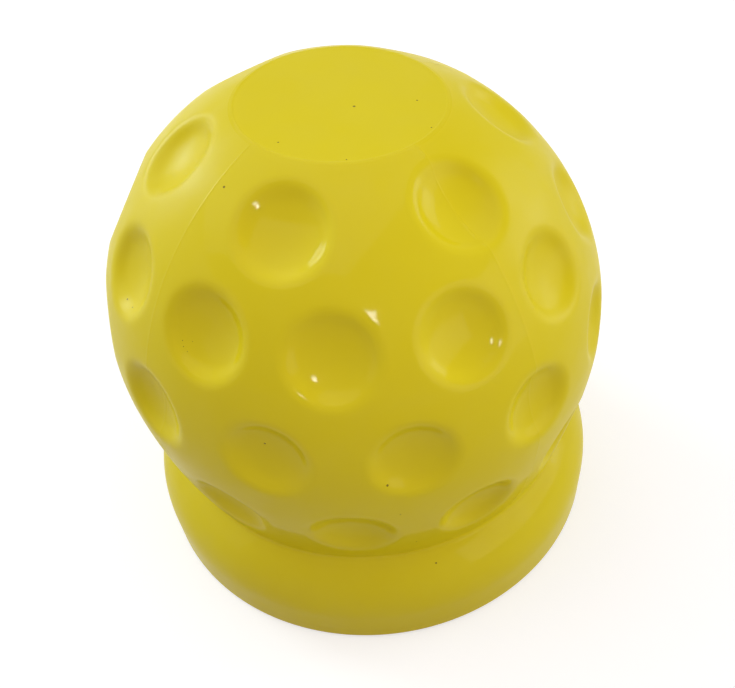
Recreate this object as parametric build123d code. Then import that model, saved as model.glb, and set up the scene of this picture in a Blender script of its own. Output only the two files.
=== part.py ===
from build123d import *
import math
import os

# Tow ball cover: one soft moulding that stands on its rim, +Z up, front towards -Y, lengths in millimetres.

# Ball that the cover goes on, and the hollow that takes it
BALL_D = 50.0
BALL_PLAY = 0.3
CAVITY_R = BALL_D / 2 + BALL_PLAY

# Head: a ball with a flat top, drawn out below its widest line
HEAD_R = 31.0
HEAD_Z = 32.2
DISC_R = 11.25
SEAM_LAT = -4.2
LOWER_R = 60.0

# Collar below the head
CREASE_Z = 14.2
CREASE_R = 0.8
COLLAR_R = 32.0
BAND_Z = 5.3
RIM_EDGE_R = 0.8

# Inside, from the mouth up
MOUTH_R = 28.4
MOUTH_EDGE_R = 0.5
SKIRT_TOP_R = 27.8
SKIRT_TOP_Z = 5.2
GRIP_R = 21.0
GRIP_Z = 12.0
GRIP_EDGE_R = 1.0

# Dimples: rings of round hollows, each ring turned half a step from the next
DIMPLE_HALF_ANGLE = 9.2
DIMPLE_DEPTH = 1.8
LIP_R = 2.5
RING_A_LAT = 55.0
RING_B_LAT = 32.5
RING_C_LAT = 9.0
RING_D_DROP = 9.2
RING_A_COUNT = 6
RING_COUNT = 12
STAGGER = 15.0

# How near an edge lies to the place where it is looked for
EDGE_MATCH = 0.0001


def polar(radius, degrees):
    """Radial and axial parts of a length at an angle above the level."""
    a = math.radians(degrees)
    return radius * math.cos(a), radius * math.sin(a)


def head_point(latitude):
    """Radius and height of the round part of the head at a latitude."""
    r, z = polar(HEAD_R, latitude)
    return r, HEAD_Z + z


# Centre of the lower arc, in line with the seam and the head's centre, so that the arcs join smoothly
back_r, back_z = polar(LOWER_R - HEAD_R, SEAM_LAT)
LOWER_CENTRE_R = -back_r
LOWER_CENTRE_Z = HEAD_Z - back_z


def lower_point(z):
    """Radius of the drawn-out lower part of the head at a height, with that height."""
    rise = z - LOWER_CENTRE_Z
    return LOWER_CENTRE_R + math.sqrt(LOWER_R**2 - rise**2), z


TOP_Z = HEAD_Z + math.sqrt(HEAD_R**2 - DISC_R**2)
DISC_LAT = math.degrees(math.acos(DISC_R / HEAD_R))
SEAM = head_point(SEAM_LAT)
CREASE = lower_point(CREASE_Z)
GRIP_TOP_Z = HEAD_Z - math.sqrt(CAVITY_R**2 - GRIP_R**2)
CAVITY_TOP_Z = HEAD_Z + CAVITY_R

# Collar arc: upright where it meets the band, and up to the crease
rise = CREASE_Z - BAND_Z
inset = COLLAR_R - CREASE[0]
COLLAR_ARC_R = (rise**2 + inset**2) / (2 * inset)
half_turn = math.degrees(math.asin(rise / COLLAR_ARC_R)) / 2
mid_r, mid_z = polar(COLLAR_ARC_R, half_turn)
COLLAR_MID = (COLLAR_R - COLLAR_ARC_R + mid_r, BAND_Z + mid_z)

# The dimple's cutting ball goes through a circle of the half angle on the head and through the floor
circle_h, circle_r = polar(HEAD_R, DIMPLE_HALF_ANGLE)
floor_drop = circle_h - (HEAD_R - DIMPLE_DEPTH)
CUTTER_R = (circle_r**2 + floor_drop**2) / (2 * floor_drop)


def cutter_plane(r, z, tilt, azimuth):
    """Plane at a cutting ball's centre, over the point at r and z where the surface faces up by tilt."""
    a = math.radians(azimuth)
    outward = Vector(math.sin(a), -math.cos(a), 0)
    sideways = Vector(math.cos(a), math.sin(a), 0)
    facing_r, facing_z = polar(1, tilt)
    facing = outward * facing_r + Vector(0, 0, facing_z)
    foot = outward * r + Vector(0, 0, z)
    return Plane(origin=foot + facing * (CUTTER_R - DIMPLE_DEPTH), x_dir=facing, z_dir=sideways)


def ring(r, z, tilt, count, start):
    """Cutting planes of one ring of dimples."""
    step = 360 / count
    return [cutter_plane(r, z, tilt, start + step * i) for i in range(count)]


ring_d_r, ring_d_z = lower_point(HEAD_Z - RING_D_DROP)
ring_d_tilt = math.degrees(math.asin((ring_d_z - LOWER_CENTRE_Z) / LOWER_R))
dimples = [
    *ring(*head_point(RING_A_LAT), RING_A_LAT, RING_A_COUNT, -STAGGER),
    *ring(*head_point(RING_B_LAT), RING_B_LAT, RING_COUNT, 0),
    *ring(*head_point(RING_C_LAT), RING_C_LAT, RING_COUNT, STAGGER),
    *ring(ring_d_r, ring_d_z, ring_d_tilt, RING_COUNT, 0),
]


def circles_at(part, r, z):
    """Level edges of the part at a radius and a height."""
    circles = part.edges().filter_by(GeomType.CIRCLE)
    return [e for e in circles if math.hypot(e.radius - r, e.arc_center.Z - z) < EDGE_MATCH]


# The section is drawn in an upright plane that passes between the dimples of the lowest ring
with BuildPart() as cover:
    with BuildSketch(Plane.XZ.rotated((0, 0, STAGGER))) as section:
        with BuildLine() as outline:
            Line((0, TOP_Z), (DISC_R, TOP_Z))
            ThreePointArc((DISC_R, TOP_Z), head_point((DISC_LAT + SEAM_LAT) / 2), SEAM)
            ThreePointArc(SEAM, lower_point((SEAM[1] + CREASE_Z) / 2), CREASE)
            ThreePointArc(CREASE, COLLAR_MID, (COLLAR_R, BAND_Z))
            Polyline((COLLAR_R, BAND_Z), (COLLAR_R, 0), (MOUTH_R, 0), (SKIRT_TOP_R, SKIRT_TOP_Z))
            Polyline((SKIRT_TOP_R, SKIRT_TOP_Z), (GRIP_R, GRIP_Z), (GRIP_R, GRIP_TOP_Z))
            ThreePointArc((GRIP_R, GRIP_TOP_Z), (CAVITY_R, HEAD_Z), (0, CAVITY_TOP_Z))
            Line((0, CAVITY_TOP_Z), (0, TOP_Z))
        make_face()
    revolve(axis=Axis.Z)
    fillet(circles_at(cover.part, *CREASE), CREASE_R)
    fillet(circles_at(cover.part, COLLAR_R, 0), RIM_EDGE_R)
    fillet(circles_at(cover.part, MOUTH_R, 0), MOUTH_EDGE_R)
    fillet(circles_at(cover.part, GRIP_R, GRIP_Z), GRIP_EDGE_R)
    with Locations(*dimples):
        Sphere(CUTTER_R, mode=Mode.SUBTRACT)
    floors = [f for f in cover.faces().filter_by(GeomType.SPHERE) if f.radius < CAVITY_R]
    fillet(ShapeList(e for f in floors for e in f.edges()), LIP_R)

os.makedirs("parts", exist_ok=True)
export_step(cover.part, "parts/cover.step")
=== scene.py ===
"""Tow ball cover: a soft yellow moulding with a dimpled head, a flat top and a rounded collar."""

import math

import bpy
import numpy as np
from bpy.props import FloatProperty, FloatVectorProperty, PointerProperty
from mathutils import Matrix, Vector


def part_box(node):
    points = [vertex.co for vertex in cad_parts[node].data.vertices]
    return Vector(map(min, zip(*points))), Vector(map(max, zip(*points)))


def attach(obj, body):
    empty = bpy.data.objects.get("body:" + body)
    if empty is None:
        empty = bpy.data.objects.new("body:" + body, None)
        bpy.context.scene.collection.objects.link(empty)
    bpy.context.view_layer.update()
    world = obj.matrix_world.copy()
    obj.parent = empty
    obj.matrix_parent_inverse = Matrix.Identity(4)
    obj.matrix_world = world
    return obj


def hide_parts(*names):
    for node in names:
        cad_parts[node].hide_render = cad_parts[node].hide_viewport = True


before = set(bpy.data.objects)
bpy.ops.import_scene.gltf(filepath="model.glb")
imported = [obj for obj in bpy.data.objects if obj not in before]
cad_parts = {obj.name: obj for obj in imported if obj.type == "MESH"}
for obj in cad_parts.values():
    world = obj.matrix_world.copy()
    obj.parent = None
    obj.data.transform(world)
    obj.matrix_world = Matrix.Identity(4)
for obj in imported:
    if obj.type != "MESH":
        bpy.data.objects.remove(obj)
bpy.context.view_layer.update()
COVER_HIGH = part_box("cover")[1]

bl_info = {
    "name": "Tow ball cover",
    "version": (1, 0, 0),
    "blender": (4, 5, 0),
    "location": "3D View > Sidebar > Tow Ball Cover",
    "description": "Builds a dimpled soft cover for a tow ball, with its stage",
    "category": "Object",
}

MM = 0.001
WHITE = (1.0, 1.0, 1.0)

# Picture in pixels, the camera's sensor in millimetres, how near it sees, and the directions of its picture
IMAGE_WIDTH = 735
IMAGE_HEIGHT = 688
SENSOR_WIDTH = 36.0
CLIP_START = 0.005
CAMERA_RIGHT = (0.9995, -0.0198, 0.0264)
CAMERA_UP = (-0.0010, 0.7812, 0.6243)

# Mesh: columns round the outside, how many make a coarse one, digits of their azimuths, steps, sharp edges
COLUMNS = 456
COARSE_STEP = 6
AZIMUTH_DIGITS = 6
ROW_STEP = 0.44 * MM
CORNER_STEP = 0.2 * MM
INSIDE_STEP = 1.6 * MM
SHARP_ANGLE = math.radians(40.0)

# Rounded corners of a section: how far other points keep clear, in lengths of the cut, and the rim's level
CORNER_CLEARANCE = 1.1
RIM_LEVEL = 1e-7

# Top disc: rings on it as shares of its radius, and its edge as steps inward and drops in heights of its bead
DISC_RINGS = (0.8, 0.45, 0.15)
DISC_EDGE = ((8.0, 1.0), (5.0, 0.8), (3.0, 0.2), (1.0, 0.0))

# The mould's four parting lines in degrees, and their section: degrees to the side, and share of the height
PARTING_AZIMUTHS = (-135.0, -45.0, 45.0, 135.0)
PARTING_SHAPE = ((-0.5, 0.0), (-0.2, 0.45), (0.0, 1.0), (0.2, 0.45), (0.5, 0.0))

# A dimple's section: points along each arc, its slope at most, and steps that halve the range of that slope
ARC_POINTS = 24
STEEPEST_WALL = math.radians(89.0)
HALVINGS = 50

# Plastic: its index of refraction, what reflects under its gloss, and the strength and depth of its relief
PLASTIC_IOR = 1.5
UNDER_GLOSS_LEVEL = 0.02
BUMP_STRENGTH = 0.25
BUMP_DEPTH = 0.35 * MM

# Noise on the plastic as cycles per metre and detail, its middle value, and what smears do to the roughness
DRIFT_NOISE = (70.0, 3.0)
SMEAR_NOISE = (320.0, 4.0)
GRAIN_NOISE = (1500.0, 3.0)
WAVE_NOISE = (110.0, 2.0)
NOISE_MIDDLE = 0.5
SMEAR_ROUGHNESS = 0.12

# Floor: its roughness, its pale clouds, how much paler they are, and where its glow starts and is full
FLOOR_ROUGHNESS = 0.9
FLOOR_NOISE = (3.0, 2.0)
FLOOR_CLOUD = 0.01
FLOOR_NEAR = 0.2
FLOOR_FAR = 0.8

# Sockets of the Mix node that hold its two colours and their mixture
MIX_COLOURS = (6, 7)
MIX_RESULT = 2

# Rings of dimples: latitude on the head, how many, and the azimuth of the first
HEAD_RINGS = ((55.0, 6, -15.0), (32.5, 12, 0.0), (9.0, 12, 15.0))
LOWEST_RING = (12, 0.0)

# Dark specks in the moulding: place in millimetres, and radius
SPECKS = (
    (1.47, -1.19, 61.09, 0.15),
    (7.97, 0.14, 61.09, 0.10),
    (-5.50, -7.92, 61.09, 0.10),
    (-10.59, -12.05, 58.72, 0.13),
    (-23.67, -13.36, 45.13, 0.12),
    (-22.72, -14.83, 45.33, 0.10),
    (-8.09, -27.42, 37.73, 0.14),
    (4.72, -30.22, 33.87, 0.14),
    (9.58, -27.64, 12.64, 0.12),
    (9.57, -4.95, 61.06, 0.08),
    (1.44, -10.70, 61.06, 0.08),
    (-15.81, -21.07, 46.60, 0.05),
    (-15.73, -21.50, 46.17, 0.05),
    (-15.33, -21.88, 45.83, 0.04),
    (-14.77, -21.21, 46.60, 0.04),
    (5.84, -30.19, 28.10, 0.08),
    (7.27, -28.10, 18.76, 0.08),
)

# Lamps: name, azimuth and elevation in degrees, distance, width, height, level on a white surface, and colour
LAMPS = (
    ("overhead", -120.0, 72.0, 0.85, 1.30, 1.30, 0.95, (0.93, 1.0, 1.0)),
    ("left_window", -120.0, 23.0, 0.70, 0.22, 0.20, 0.29, (0.80, 1.0, 1.0)),
    ("left_fill", -95.0, 14.0, 0.70, 1.00, 0.40, 0.16, (1.0, 1.0, 1.0)),
    ("right_window", 114.0, 18.0, 0.70, 0.36, 0.32, 0.22, (0.80, 1.0, 1.0)),
    ("right_fill", 76.0, 14.0, 0.70, 1.00, 0.40, 0.44, (1.0, 0.97, 0.97)),
    ("near_lens", 10.5, 37.1, 0.1164, 0.008, 0.0105, 0.105, (1.0, 1.0, 1.0)),
)


class TowCoverSizes(bpy.types.PropertyGroup):
    """Sizes of the moulding."""

    head_radius: FloatProperty(
        name="Head radius", description="Radius of the round head", default=31.0 * MM, subtype="DISTANCE")
    head_height: FloatProperty(
        name="Head height", description="Height of the head's centre above the rim", default=32.2 * MM,
        subtype="DISTANCE")
    disc_radius: FloatProperty(
        name="Top disc radius", description="Radius of the flat top", default=11.25 * MM, subtype="DISTANCE")
    seam_latitude: FloatProperty(
        name="Seam latitude", description="Where the ball runs into the drawn-out lower part",
        default=math.radians(-4.2), subtype="ANGLE")
    lower_radius: FloatProperty(
        name="Lower arc radius", description="Radius of the section of the drawn-out lower part",
        default=60.0 * MM, subtype="DISTANCE")
    crease_height: FloatProperty(
        name="Crease height", description="Height of the crease between head and collar", default=14.2 * MM,
        subtype="DISTANCE")
    crease_round: FloatProperty(
        name="Crease rounding", description="Radius in the crease", default=0.8 * MM, subtype="DISTANCE")
    collar_radius: FloatProperty(
        name="Collar radius", description="Radius of the collar at its rim", default=COVER_HIGH.x,
        subtype="DISTANCE")
    band_height: FloatProperty(
        name="Band height", description="Height of the upright band at the rim", default=5.3 * MM,
        subtype="DISTANCE")
    rim_round: FloatProperty(
        name="Rim rounding", description="Radius of the rim's outer edge", default=0.8 * MM,
        subtype="DISTANCE")
    mouth_radius: FloatProperty(
        name="Mouth radius", description="Inner radius of the rim", default=28.4 * MM, subtype="DISTANCE")
    mouth_round: FloatProperty(
        name="Mouth rounding", description="Radius of the rim's inner edge", default=0.5 * MM,
        subtype="DISTANCE")
    skirt_top_radius: FloatProperty(
        name="Skirt top radius", description="Inner radius at the top of the skirt", default=27.8 * MM,
        subtype="DISTANCE")
    skirt_top_height: FloatProperty(
        name="Skirt top height", description="Height of the skirt inside", default=5.2 * MM,
        subtype="DISTANCE")
    grip_radius: FloatProperty(
        name="Grip radius", description="Radius of the grip ring's hole", default=21.0 * MM,
        subtype="DISTANCE")
    grip_height: FloatProperty(
        name="Grip height", description="Height where the grip ring starts", default=12.0 * MM,
        subtype="DISTANCE")
    grip_round: FloatProperty(
        name="Grip rounding", description="Radius of the grip ring's lower edge", default=1.0 * MM,
        subtype="DISTANCE")
    hollow_radius: FloatProperty(
        name="Hollow radius", description="Radius of the hollow that takes the ball", default=25.3 * MM,
        subtype="DISTANCE")


class TowCoverDetails(bpy.types.PropertyGroup):
    """Sizes of the dimples and of the moulded-in lines."""

    dimple_depth: FloatProperty(
        name="Dimple depth", description="Depth of a dimple below the head", default=1.9 * MM,
        subtype="DISTANCE")
    floor_radius: FloatProperty(
        name="Dimple floor radius", description="Radius of a dimple's dished floor", default=10.8 * MM,
        subtype="DISTANCE")
    floor_reach: FloatProperty(
        name="Dimple floor reach", description="How far a dimple's floor goes from its middle",
        default=3.2 * MM, subtype="DISTANCE")
    wall_radius: FloatProperty(
        name="Dimple wall radius", description="Radius of the hollow between a dimple's floor and its lip",
        default=3.0 * MM, subtype="DISTANCE")
    lip_radius: FloatProperty(
        name="Lip radius", description="Radius of a dimple's rounded lip", default=1.9 * MM,
        subtype="DISTANCE")
    lowest_ring_drop: FloatProperty(
        name="Lowest ring drop", description="How far the lowest ring lies below the head's centre",
        default=9.2 * MM, subtype="DISTANCE")
    parting_height: FloatProperty(
        name="Parting line height", description="How far a parting line stands proud at the top",
        default=0.02 * MM, subtype="DISTANCE")
    disc_bead: FloatProperty(
        name="Disc edge bead", description="How far the edge of the top disc stands above it",
        default=0.03 * MM, subtype="DISTANCE")


class TowCoverFinish(bpy.types.PropertyGroup):
    """Colours and gloss of the soft plastic."""

    yellow: FloatVectorProperty(
        name="Yellow", description="Colour of the plastic", default=(0.72, 0.612, 0.012), subtype="COLOR",
        min=0.0, max=1.0)
    deep_yellow: FloatVectorProperty(
        name="Deep yellow", description="Colour where the plastic is a shade deeper",
        default=(0.69, 0.572, 0.009), subtype="COLOR", min=0.0, max=1.0)
    speck_colour: FloatVectorProperty(
        name="Speck colour", description="Colour of the specks in the plastic", default=(0.20, 0.15, 0.01),
        subtype="COLOR", min=0.0, max=1.0)
    polished_gloss: FloatProperty(
        name="Polished gloss", description="Weight of the gloss where the mould was polished", default=0.19,
        min=0.0, max=1.0, subtype="FACTOR")
    polished_blur: FloatProperty(
        name="Polished blur", description="Roughness of the gloss where the mould was polished", default=0.07,
        min=0.0, max=1.0, subtype="FACTOR")
    matte_gloss: FloatProperty(
        name="Matte gloss", description="Weight of the gloss from the mould's side parts", default=0.26,
        min=0.0, max=1.0, subtype="FACTOR")
    matte_blur: FloatProperty(
        name="Matte blur", description="Roughness of the gloss from the mould's side parts", default=0.33,
        min=0.0, max=1.0, subtype="FACTOR")
    roughness: FloatProperty(
        name="Roughness", description="Roughness of the plastic under its gloss", default=0.40, min=0.0,
        max=1.0, subtype="FACTOR")
    grain: FloatProperty(
        name="Grain", description="Height of the fine grain against the slow waves of the surface",
        default=0.06, min=0.0, max=1.0, subtype="FACTOR")


class TowCoverStage(bpy.types.PropertyGroup):
    """Camera, floor and light."""

    camera_place: FloatVectorProperty(
        name="Camera place", description="Where the camera stands", default=(0.01191, -0.08268, 0.10911),
        subtype="TRANSLATION", unit="LENGTH")
    focal_pixels: FloatProperty(
        name="Focal length", description="Focal length in pixels of the picture", default=846.21,
        subtype="PIXEL")
    centre_u: FloatProperty(
        name="Picture centre across", description="Column of the lens axis in the picture", default=482.15,
        subtype="PIXEL")
    centre_v: FloatProperty(
        name="Picture centre down", description="Row of the lens axis in the picture", default=430.0,
        subtype="PIXEL")
    floor_colour: FloatVectorProperty(
        name="Floor", description="Colour of the floor", default=(0.55, 0.55, 0.57), subtype="COLOR", min=0.0,
        max=1.0)
    floor_size: FloatProperty(
        name="Floor size", description="Side of the floor", default=6.0, subtype="DISTANCE")
    floor_glow: FloatProperty(
        name="Floor glow", description="Light that the floor adds for the camera", default=0.55, min=0.0,
        max=1.0, subtype="FACTOR")
    room_light: FloatVectorProperty(
        name="Room light", description="Colour of the even light from all round",
        default=(0.215, 0.125, 0.11), subtype="COLOR", min=0.0, max=1.0)
    lamp_level: FloatProperty(
        name="Lamp level", description="One factor for all the lamps", default=1.0, min=0.0, subtype="FACTOR")


def outward(azimuth):
    """Level direction at an azimuth in degrees: 0 is the front, and positive is to the right."""
    a = math.radians(azimuth)
    return np.array([math.sin(a), -math.cos(a), 0.0])


def arc_points(start, end, centre, step):
    """Points of a section along an arc about a centre, both ends kept."""
    first = math.atan2(start[1] - centre[1], start[0] - centre[0])
    last = math.atan2(end[1] - centre[1], end[0] - centre[0])
    radius = math.dist(start, centre)
    count = max(2, round(abs(last - first) * radius / step))
    angles = np.linspace(first, last, count + 1)
    return np.column_stack([centre[0] + radius * np.cos(angles), centre[1] + radius * np.sin(angles)])


def line_points(start, end, step):
    """Points of a section along a straight line, both ends kept."""
    count = max(1, round(math.dist(start, end) / step))
    return np.linspace(start, end, count + 1)


def rounded_join(first, second, radius, step):
    """Two runs of a section that share a corner, joined by an arc of a radius."""
    corner = first[-1]
    way_in = corner - first[-2]
    way_in = way_in / np.linalg.norm(way_in)
    way_out = second[1] - corner
    way_out = way_out / np.linalg.norm(way_out)
    turn = math.atan2(way_in[0] * way_out[1] - way_in[1] * way_out[0], way_in @ way_out)
    cut = radius * math.tan(abs(turn) / 2)
    side = math.copysign(1.0, turn) * np.array([-way_in[1], way_in[0]])
    start = corner - way_in * cut
    end = corner + way_out * cut
    centre = start + side * radius
    count = max(2, round(abs(turn) * radius / step))
    arm = start - centre
    angles = np.linspace(0.0, turn, count + 1)
    arc = np.column_stack([
        centre[0] + arm[0] * np.cos(angles) - arm[1] * np.sin(angles),
        centre[1] + arm[0] * np.sin(angles) + arm[1] * np.cos(angles),
    ])
    kept_first = first[np.linalg.norm(first - corner, axis=1) > cut * CORNER_CLEARANCE]
    kept_second = second[np.linalg.norm(second - corner, axis=1) > cut * CORNER_CLEARANCE]
    return np.vstack([kept_first, arc, kept_second])


def head_centre(sizes):
    """Centre of the round head in the section."""
    return np.array([0.0, sizes.head_height])


def lower_centre(sizes):
    """Centre of the lower arc, in line with the seam and the head's centre."""
    back = sizes.lower_radius - sizes.head_radius
    turn = sizes.seam_latitude
    return head_centre(sizes) - back * np.array([math.cos(turn), math.sin(turn)])


def lower_radius_at(sizes, height):
    """Radius of the drawn-out lower part at a height."""
    centre = lower_centre(sizes)
    return centre[0] + math.sqrt(sizes.lower_radius**2 - (height - centre[1])**2)


def outside_section(sizes, details):
    """Section of the outside, from the edge of the top disc to the flat of the rim."""
    centre = head_centre(sizes)
    top = centre[1] + math.sqrt(sizes.head_radius**2 - sizes.disc_radius**2)
    edge = (sizes.disc_radius, top)
    turn = sizes.seam_latitude
    seam = centre + sizes.head_radius * np.array([math.cos(turn), math.sin(turn)])
    crease = (lower_radius_at(sizes, sizes.crease_height), sizes.crease_height)
    rise = sizes.crease_height - sizes.band_height
    inset = sizes.collar_radius - crease[0]
    collar_arc = (rise**2 + inset**2) / (2 * inset)
    collar_centre = (sizes.collar_radius - collar_arc, sizes.band_height)
    band_top = (sizes.collar_radius, sizes.band_height)
    foot = (sizes.collar_radius, 0.0)
    bead = details.disc_bead
    disc_edge = np.array([(edge[0] - inward * bead, top - drop * bead) for inward, drop in DISC_EDGE])
    head = arc_points(edge, seam, centre, ROW_STEP)
    lower = arc_points(seam, crease, lower_centre(sizes), ROW_STEP)
    collar = arc_points(crease, band_top, collar_centre, ROW_STEP)
    band = line_points(band_top, foot, ROW_STEP)
    flat = line_points(foot, (sizes.mouth_radius + sizes.rim_round, 0.0), ROW_STEP)
    upper_part = np.vstack([disc_edge, head[:-1], lower])
    lower_part = np.vstack([collar[:-1], band])
    whole = rounded_join(upper_part, lower_part, sizes.crease_round, CORNER_STEP)
    whole = rounded_join(whole, flat, sizes.rim_round, CORNER_STEP)
    last = int(np.argmax(whole[:, 1] < RIM_LEVEL))
    return whole[:last + 1]


def inside_section(sizes):
    """Section of the inside, from the flat of the rim to the top of the hollow."""
    centre = head_centre(sizes)
    drop = math.sqrt(sizes.hollow_radius**2 - sizes.grip_radius**2)
    mouth = (sizes.mouth_radius, 0.0)
    skirt_top = (sizes.skirt_top_radius, sizes.skirt_top_height)
    grip = (sizes.grip_radius, sizes.grip_height)
    grip_top = (sizes.grip_radius, centre[1] - drop)
    summit = (0.0, centre[1] + sizes.hollow_radius)
    flat = line_points((sizes.mouth_radius + sizes.rim_round, 0.0), mouth, INSIDE_STEP)
    skirt = line_points(mouth, skirt_top, INSIDE_STEP)
    cone = line_points(skirt_top, grip, INSIDE_STEP)
    bore = line_points(grip, grip_top, INSIDE_STEP)
    hollow = arc_points(grip_top, summit, centre, INSIDE_STEP)
    whole = rounded_join(flat, skirt, sizes.mouth_round, CORNER_STEP)
    whole = np.vstack([whole, cone[1:]])
    whole = rounded_join(whole, bore, sizes.grip_round, CORNER_STEP)
    return np.vstack([whole, hollow[1:-1]])


def section_normals(section):
    """Outward directions of a section that runs from the top down the outside."""
    along = np.gradient(section, axis=0)
    along = along / np.linalg.norm(along, axis=1)[:, None]
    return np.column_stack([-along[:, 1], along[:, 0]])


def dimple_section(sizes, details):
    """Angle from a dimple's axis and depth below the head, along the dimple's floor, wall and lip."""
    head = sizes.head_radius
    floor, wall, lip = details.floor_radius, details.wall_radius, details.lip_radius
    first = math.asin(details.floor_reach / floor)
    floor_centre = np.array([0.0, head - details.dimple_depth + floor])
    wall_centre = floor_centre + (floor - wall) * np.array([math.sin(first), -math.cos(first)])
    low, high = first, STEEPEST_WALL
    for _ in range(HALVINGS):
        steepest = (low + high) / 2
        lip_centre = wall_centre + (wall + lip) * np.array([math.sin(steepest), -math.cos(steepest)])
        if np.linalg.norm(lip_centre) < head - lip:
            low = steepest
        else:
            high = steepest
    last = math.atan2(lip_centre[0], lip_centre[1])
    runs = []
    for centre, radius, start, end in (
        (floor_centre, floor, 0.0, first),
        (wall_centre, wall, first, steepest),
        (lip_centre, -lip, steepest, -last),
    ):
        slopes = np.linspace(start, end, ARC_POINTS)
        runs.append(centre + radius * np.column_stack([np.sin(slopes), -np.cos(slopes)]))
    points = np.vstack(runs)
    return np.arctan2(points[:, 0], points[:, 1]), head - np.linalg.norm(points, axis=1)


def dimple_axes(sizes, details):
    """Where each dimple's axis meets the head, and the direction of that axis, ring by ring."""
    places = []
    for latitude, count, first in HEAD_RINGS:
        a = math.radians(latitude)
        radius = sizes.head_radius * math.cos(a)
        places.append((radius, sizes.head_height + sizes.head_radius * math.sin(a), a, count, first))
    height = sizes.head_height - details.lowest_ring_drop
    tilt = math.asin((height - lower_centre(sizes)[1]) / sizes.lower_radius)
    places.append((lower_radius_at(sizes, height), height, tilt, *LOWEST_RING))
    axes = []
    for radius, height, tilt, count, first in places:
        for i in range(count):
            level = outward(first + 360.0 * i / count)
            foot = level * radius + np.array([0.0, 0.0, height])
            axes.append((foot, level * math.cos(tilt) + np.array([0.0, 0.0, math.sin(tilt)])))
    return axes


def dimple_depths(points, sizes, details):
    """How far each point of the outside goes in."""
    angles, depths = dimple_section(sizes, details)
    reach = sizes.head_radius * math.sin(angles[-1])
    deepest = np.zeros(len(points))
    for foot, axis in dimple_axes(sizes, details):
        away = points - foot
        along = away @ axis
        across = np.linalg.norm(away - along[:, None] * axis, axis=1)
        near = (across < reach) & (along > -reach)
        angle = np.arcsin(across[near] / sizes.head_radius)
        deepest[near] = np.maximum(deepest[near], np.interp(angle, angles, depths))
    return deepest


def column_azimuths():
    """Azimuths of the outside columns, shares of a parting line's height there, and the coarse columns."""
    step = 360.0 / COLUMNS
    azimuths = {round(-180.0 + step * i, AZIMUTH_DIGITS): 0.0 for i in range(COLUMNS)}
    coarse = [round(-180.0 + step * i, AZIMUTH_DIGITS) for i in range(0, COLUMNS, COARSE_STEP)]
    for line in PARTING_AZIMUTHS:
        for offset, height in PARTING_SHAPE:
            azimuths[round(line + offset, AZIMUTH_DIGITS)] = height
    ordered = sorted(azimuths)
    starts = [ordered.index(a) for a in coarse]
    return np.array(ordered), np.array([azimuths[a] for a in ordered]), starts


def ring_points(section, azimuths):
    """Points of a section turned to each azimuth, row by row."""
    directions = np.array([outward(a) for a in azimuths])
    points = section[:, None, 0, None] * directions[None, :, :]
    points[:, :, 2] = section[:, 1, None]
    return points


def strip_faces(first, second, width):
    """Quads between two rows of a closed strip."""
    return [(first + i, second + i, second + (i + 1) % width, first + (i + 1) % width) for i in range(width)]


def fan_faces(fine, coarse, starts, width):
    """Flat faces between a fine row and a coarse row, one for each coarse column."""
    faces = []
    for j, start in enumerate(starts):
        end = starts[j + 1] if j + 1 < len(starts) else width
        edge = [fine + k % width for k in range(start, end + 1)]
        faces.append((*edge, coarse + (j + 1) % len(starts), coarse + j))
    return faces


def tube_faces(start, rows, width):
    """Quads of a closed strip of several rows, from the index of its first point."""
    faces = []
    for row in range(rows - 1):
        faces += strip_faces(start + row * width, start + (row + 1) * width, width)
    return faces


def cap_faces(row, middle, width):
    """Triangles between a closed row and the point in its middle."""
    return [(row + i, middle, row + (i + 1) % width) for i in range(width)]


def outside_points(section, azimuths, ridge, sizes, details):
    """Points of the outside, row by row, with the dimples and the parting lines."""
    points = ring_points(section, azimuths).reshape(-1, 3)
    facing = ring_points(section_normals(section), azimuths).reshape(-1, 3)
    depths = dimple_depths(points, sizes, details)
    below_disc = section[:, 0] > sizes.disc_radius
    fading = np.clip((section[:, 1] - sizes.crease_height) / sizes.head_radius, 0.0, 1.0)
    proud = details.parting_height * np.outer(below_disc * fading, ridge).reshape(-1)
    return points + facing * (proud - depths)[:, None]


def side_parts(section, azimuths, sizes):
    """True for each face of the outside that came from the mould's side parts, row by row."""
    middles = np.radians((azimuths + np.append(azimuths[1:], azimuths[0] + 360.0)) / 2)
    side = np.abs(np.sin(middles)) > np.abs(np.cos(middles))
    on_head = (section[1:, 1] > sizes.crease_height) & (section[:-1, 0] >= sizes.disc_radius)
    return np.outer(on_head, side).reshape(-1)


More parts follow.
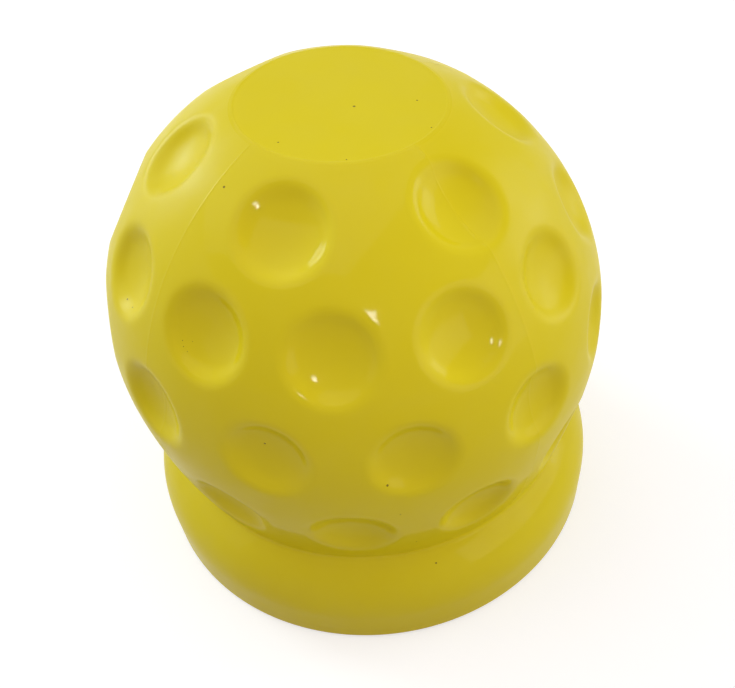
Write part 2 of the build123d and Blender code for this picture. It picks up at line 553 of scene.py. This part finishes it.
def moulding_mesh(sizes, details):
    """Points and faces of the whole moulding, and the finish of each face: 1 is matte and 0 polished."""
    azimuths, ridge, starts = column_azimuths()
    width, coarse_width = len(azimuths), len(starts)
    section = outside_section(sizes, details)
    inner_section = inside_section(sizes)
    disc_reach, disc_height = section[0]
    disc_section = np.array([(disc_reach * share, disc_height) for share in DISC_RINGS])
    vertices = np.vstack([
        outside_points(section, azimuths, ridge, sizes, details),
        ring_points(disc_section, azimuths[starts]).reshape(-1, 3),
        (0.0, 0.0, disc_height),
        ring_points(inner_section, azimuths[starts]).reshape(-1, 3),
        (0.0, 0.0, sizes.head_height + sizes.hollow_radius),
    ])

    rows = len(section)
    disc_start = rows * width
    disc_centre = disc_start + len(DISC_RINGS) * coarse_width
    inner_start = disc_centre + 1
    summit = inner_start + len(inner_section) * coarse_width
    outside = tube_faces(0, rows, width)
    disc = fan_faces(0, disc_start, starts, width)
    disc += tube_faces(disc_start, len(DISC_RINGS), coarse_width)
    disc += cap_faces(disc_centre - coarse_width, disc_centre, coarse_width)
    inside = fan_faces((rows - 1) * width, inner_start, starts, width)
    inside += tube_faces(inner_start, len(inner_section), coarse_width)
    inside += cap_faces(summit - coarse_width, summit, coarse_width)
    faces = outside + [face[::-1] for face in disc] + inside
    matte = np.concatenate([side_parts(section, azimuths, sizes), np.zeros(len(disc)), np.ones(len(inside))])
    return vertices, faces, matte.astype(np.int32)


def new_object(name, data):
    """An object in the scene."""
    made = bpy.data.objects.new(name, data)
    bpy.context.scene.collection.objects.link(made)
    return made


def opaque(colour):
    """A colour with full alpha."""
    return (*colour, 1.0)


class NodeSheet:
    """Nodes of one material, group or world, placed and linked by short calls."""

    def __init__(self, tree):
        self.tree = tree
        self.tree.nodes.clear()

    def node(self, kind, **values):
        """A node of a kind, with its settings and the values of its inputs."""
        made = self.tree.nodes.new(kind)
        for key, value in values.items():
            if hasattr(made, key):
                setattr(made, key, value)
            else:
                made.inputs[key.replace("_", " ")].default_value = value
        return made

    def link(self, source, target):
        """A link between two sockets."""
        self.tree.links.new(source, target)

    def feed(self, target, value):
        """Feed an input from a socket, or set it to a plain value."""
        if isinstance(value, bpy.types.NodeSocket):
            self.link(value, target)
        else:
            target.default_value = value

    def math(self, operation, first, second):
        """Result of a sum on two sockets or numbers."""
        made = self.node("ShaderNodeMath", operation=operation)
        self.feed(made.inputs[0], first)
        self.feed(made.inputs[1], second)
        return made.outputs[0]

    def group(self, tree, **values):
        """A node group with the values of its inputs."""
        made = self.node("ShaderNodeGroup", node_tree=tree)
        for key, value in values.items():
            made.inputs[key].default_value = value
        return made

    def noise(self, place, scale, detail):
        """Values of an even noise over the surface."""
        made = self.node("ShaderNodeTexNoise", Scale=scale, Detail=detail)
        self.link(place, made.inputs["Vector"])
        return made.outputs["Fac"]

    def blend(self, factor, first, second):
        """Colour between two colours, each a socket or a plain colour."""
        made = self.node("ShaderNodeMix", data_type="RGBA")
        self.link(factor, made.inputs["Factor"])
        for index, value in zip(MIX_COLOURS, (first, second)):
            self.feed(made.inputs[index], value)
        return made.outputs[MIX_RESULT]

    def show(self, kind, shader):
        """An output of a kind, for what a shader gives."""
        self.link(shader, self.node(kind).inputs["Surface"])


def speck_mask(sheet, place):
    """Mask of the dark specks: 1 inside a speck and 0 elsewhere."""
    total = None
    for x, y, z, radius in SPECKS:
        gap = sheet.node("ShaderNodeVectorMath", operation="DISTANCE")
        sheet.link(place, gap.inputs[0])
        gap.inputs[1].default_value = (x * MM, y * MM, z * MM)
        inside = sheet.math("LESS_THAN", gap.outputs["Value"], radius * MM)
        total = inside if total is None else sheet.math("MAXIMUM", total, inside)
    return total


def new_group(name, inputs, outputs):
    """A shader node group with named sockets, and the sheet of its nodes."""
    tree = bpy.data.node_groups.new(name, "ShaderNodeTree")
    for label, kind in inputs.items():
        tree.interface.new_socket(name=label, in_out="INPUT", socket_type=kind)
    for label, kind in outputs.items():
        tree.interface.new_socket(name=label, in_out="OUTPUT", socket_type=kind)
    return tree, NodeSheet(tree)


def plastic_tone():
    """Node group: colour of the plastic, with its slow drift and its specks."""
    colour = "NodeSocketColor"
    inputs = {"Deep": colour, "Pale": colour, "Speck": colour}
    tree, sheet = new_group("plastic_tone", inputs, {"Tone": colour})
    given = sheet.node("NodeGroupInput").outputs
    result = sheet.node("NodeGroupOutput").inputs
    place = sheet.node("ShaderNodeTexCoord").outputs["Object"]
    body = sheet.blend(sheet.noise(place, *DRIFT_NOISE), given["Deep"], given["Pale"])
    sheet.link(sheet.blend(speck_mask(sheet, place), body, given["Speck"]), result["Tone"])
    return tree


def moulded_skin():
    """Node group: uneven roughness and gloss, and the fine relief of the moulded surface."""
    number = "NodeSocketFloat"
    inputs = {"Roughness": number, "Gloss": number, "Grain": number}
    outputs = {"Roughness": number, "Gloss": number, "Height": number}
    tree, sheet = new_group("moulded_skin", inputs, outputs)
    given = sheet.node("NodeGroupInput").outputs
    result = sheet.node("NodeGroupOutput").inputs
    place = sheet.node("ShaderNodeTexCoord").outputs["Object"]
    smear = sheet.math("SUBTRACT", sheet.noise(place, *SMEAR_NOISE), NOISE_MIDDLE)
    rough = sheet.math("ADD", given["Roughness"], sheet.math("MULTIPLY", smear, SMEAR_ROUGHNESS))
    gloss = sheet.math("MULTIPLY", given["Gloss"], sheet.math("SUBTRACT", 1.0, smear))
    fine = sheet.math("MULTIPLY", sheet.noise(place, *GRAIN_NOISE), given["Grain"])
    height = sheet.math("ADD", sheet.noise(place, *WAVE_NOISE), fine)
    sheet.link(rough, result["Roughness"])
    sheet.link(gloss, result["Gloss"])
    sheet.link(height, result["Height"])
    return tree


def new_material(name):
    """A material, and the sheet of its nodes."""
    material = bpy.data.materials.new(name)
    material.use_nodes = True
    return material, NodeSheet(material.node_tree)


def soft_plastic(name, finish, tone, skin, gloss, blur):
    """Soft plastic, moulded in one yellow, with the gloss that one part of the mould gives it."""
    material, sheet = new_material(name)
    tint = sheet.group(
        tone, Deep=opaque(finish.deep_yellow), Pale=opaque(finish.yellow), Speck=opaque(finish.speck_colour))
    surface = sheet.group(skin, Roughness=finish.roughness, Gloss=gloss, Grain=finish.grain)
    bump = sheet.node("ShaderNodeBump", Strength=BUMP_STRENGTH, Distance=BUMP_DEPTH)
    shader = sheet.node(
        "ShaderNodeBsdfPrincipled", IOR=PLASTIC_IOR, Specular_IOR_Level=UNDER_GLOSS_LEVEL,
        Coat_Roughness=blur, Coat_IOR=PLASTIC_IOR)
    sheet.link(surface.outputs["Height"], bump.inputs["Height"])
    sheet.link(tint.outputs["Tone"], shader.inputs["Base Color"])
    sheet.link(surface.outputs["Roughness"], shader.inputs["Roughness"])
    sheet.link(surface.outputs["Gloss"], shader.inputs["Coat Weight"])
    sheet.link(bump.outputs["Normal"], shader.inputs["Normal"])
    sheet.show("ShaderNodeOutputMaterial", shader.outputs["BSDF"])
    return material


def seen_directly(sheet):
    """1 for rays from the camera, and for those that mirror or pass through something on the way."""
    path = sheet.node("ShaderNodeLightPath")
    seen = sheet.math("MAXIMUM", path.outputs["Is Camera Ray"], path.outputs["Is Glossy Ray"])
    return sheet.math("MAXIMUM", seen, path.outputs["Is Transmission Ray"])


def floor_material(stage):
    """Pale floor that the camera sees as near white, with the object's shadow on it."""
    material, sheet = new_material("pale_floor")
    place = sheet.node("ShaderNodeTexCoord").outputs["Object"]
    paler = [min(1.0, value + FLOOR_CLOUD) for value in stage.floor_colour]
    tone = sheet.blend(sheet.noise(place, *FLOOR_NOISE), opaque(stage.floor_colour), opaque(paler))
    away = sheet.node("ShaderNodeVectorMath", operation="LENGTH")
    sheet.link(place, away.inputs[0])
    ramp = sheet.node(
        "ShaderNodeMapRange", interpolation_type="SMOOTHSTEP", From_Min=FLOOR_NEAR, From_Max=FLOOR_FAR,
        To_Min=stage.floor_glow, To_Max=1.0)
    sheet.link(away.outputs["Value"], ramp.inputs["Value"])
    glow = sheet.math("MULTIPLY", seen_directly(sheet), ramp.outputs["Result"])
    shader = sheet.node(
        "ShaderNodeBsdfPrincipled", Roughness=FLOOR_ROUGHNESS, Specular_IOR_Level=0.0,
        Emission_Color=opaque(WHITE))
    sheet.link(tone, shader.inputs["Base Color"])
    sheet.link(glow, shader.inputs["Emission Strength"])
    sheet.show("ShaderNodeOutputMaterial", shader.outputs["BSDF"])
    return material


def room(stage):
    """Even light from all round, which the camera sees as white."""
    world = bpy.data.worlds.new("studio")
    world.use_nodes = True
    sheet = NodeSheet(world.node_tree)
    background = sheet.node("ShaderNodeBackground")
    colour = sheet.blend(seen_directly(sheet), opaque(stage.room_light), opaque(WHITE))
    sheet.link(colour, background.inputs["Color"])
    sheet.show("ShaderNodeOutputWorld", background.outputs["Background"])
    bpy.context.scene.world = world


def add_lamp(name, azimuth, elevation, distance, width, height, level, colour, target):
    """A soft lamp that faces the object, with its power worked out from its level there."""
    data = bpy.data.lights.new(name, "AREA")
    data.shape = "RECTANGLE"
    data.size = width
    data.size_y = height
    data.energy = level * math.pi**2 * distance**2
    data.color = colour
    lamp = new_object(name, data)
    rise = math.radians(elevation)
    way = outward(azimuth) * math.cos(rise) + np.array([0.0, 0.0, math.sin(rise)])
    lamp.visible_camera = False
    lamp.location = target + Vector(way * distance)
    lamp.rotation_euler = Vector(way).to_track_quat("Z", "Y").to_euler()


def add_camera(stage):
    """Camera at the photograph's place, with its lens axis off the middle of the picture."""
    data = bpy.data.cameras.new("camera")
    data.sensor_width = SENSOR_WIDTH
    data.lens = stage.focal_pixels / IMAGE_WIDTH * SENSOR_WIDTH
    data.shift_x = (IMAGE_WIDTH / 2 - stage.centre_u) / IMAGE_WIDTH
    data.shift_y = (stage.centre_v - IMAGE_HEIGHT / 2) / IMAGE_WIDTH
    data.clip_start = CLIP_START
    camera = new_object("camera", data)
    right, up = Vector(CAMERA_RIGHT), Vector(CAMERA_UP)
    turn = Matrix((right, up, right.cross(up).normalized())).transposed()
    camera.matrix_world = Matrix.Translation(stage.camera_place) @ turn.to_4x4()
    bpy.context.scene.camera = camera


class TOWCOVER_OT_moulding(bpy.types.Operator):
    """Build the dimpled moulding in place of its plain solid"""

    bl_idname = "tow_cover.moulding"
    bl_label = "Build moulding"

    def execute(self, context):
        settings = context.scene
        finish = settings.tow_cover_finish
        vertices, faces, matte = moulding_mesh(settings.tow_cover_sizes, settings.tow_cover_details)
        mesh = bpy.data.meshes.new("cover_moulding")
        mesh.from_pydata(vertices.tolist(), [], faces)
        if mesh.validate():
            raise RuntimeError("the moulding's mesh has faces that don't fit")
        mesh.shade_smooth()
        mesh.set_sharp_from_angle(angle=SHARP_ANGLE)
        tone, skin = plastic_tone(), moulded_skin()
        for name, gloss, blur in (
            ("polished_plastic", finish.polished_gloss, finish.polished_blur),
            ("matte_plastic", finish.matte_gloss, finish.matte_blur),
        ):
            mesh.materials.append(soft_plastic(name, finish, tone, skin, gloss, blur))
        mesh.polygons.foreach_set("material_index", matte)
        piece = new_object("cover_moulding", mesh)
        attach(piece, "root")
        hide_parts("cover")
        return {"FINISHED"}


class TOWCOVER_OT_stage(bpy.types.Operator):
    """Set up the floor, the light and the camera"""

    bl_idname = "tow_cover.stage"
    bl_label = "Set up stage"

    def execute(self, context):
        stage = context.scene.tow_cover_stage
        half = stage.floor_size / 2
        corners = [(-half, -half, 0.0), (half, -half, 0.0), (half, half, 0.0), (-half, half, 0.0)]
        mesh = bpy.data.meshes.new("floor")
        mesh.from_pydata(corners, [], [(0, 1, 2, 3)])
        mesh.materials.append(floor_material(stage))
        new_object("floor", mesh)
        target = Vector((0.0, 0.0, context.scene.tow_cover_sizes.head_height))
        for name, azimuth, elevation, distance, width, height, level, colour in LAMPS:
            level *= stage.lamp_level
            add_lamp(name, azimuth, elevation, distance, width, height, level, colour, target)
        room(stage)
        add_camera(stage)
        context.scene.view_settings.view_transform = "Standard"
        return {"FINISHED"}


class TOWCOVER_PT_panel(bpy.types.Panel):
    """Sizes and steps of the tow ball cover"""

    bl_idname = "TOWCOVER_PT_panel"
    bl_label = "Tow Ball Cover"
    bl_space_type = "VIEW_3D"
    bl_region_type = "UI"
    bl_category = "Tow Ball Cover"

    def draw(self, context):
        for name in ("tow_cover_sizes", "tow_cover_details", "tow_cover_finish", "tow_cover_stage"):
            group = getattr(context.scene, name)
            column = self.layout.column(align=True)
            for key in group.__annotations__:
                column.prop(group, key)
        self.layout.operator(TOWCOVER_OT_moulding.bl_idname)
        self.layout.operator(TOWCOVER_OT_stage.bl_idname)


GROUPS = {
    "tow_cover_sizes": TowCoverSizes,
    "tow_cover_details": TowCoverDetails,
    "tow_cover_finish": TowCoverFinish,
    "tow_cover_stage": TowCoverStage,
}
CLASSES = (*GROUPS.values(), TOWCOVER_OT_moulding, TOWCOVER_OT_stage, TOWCOVER_PT_panel)


def register():
    """Register the classes and hang the settings on the scene."""
    for cls in CLASSES:
        bpy.utils.register_class(cls)
    for name, group in GROUPS.items():
        setattr(bpy.types.Scene, name, PointerProperty(type=group))


def unregister():
    """Take the settings and the classes away again."""
    for name in GROUPS:
        delattr(bpy.types.Scene, name)
    for cls in reversed(CLASSES):
        bpy.utils.unregister_class(cls)


def main():
    """Register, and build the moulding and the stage."""
    register()
    bpy.ops.tow_cover.moulding()
    bpy.ops.tow_cover.stage()


if __name__ == "__main__":
    main()
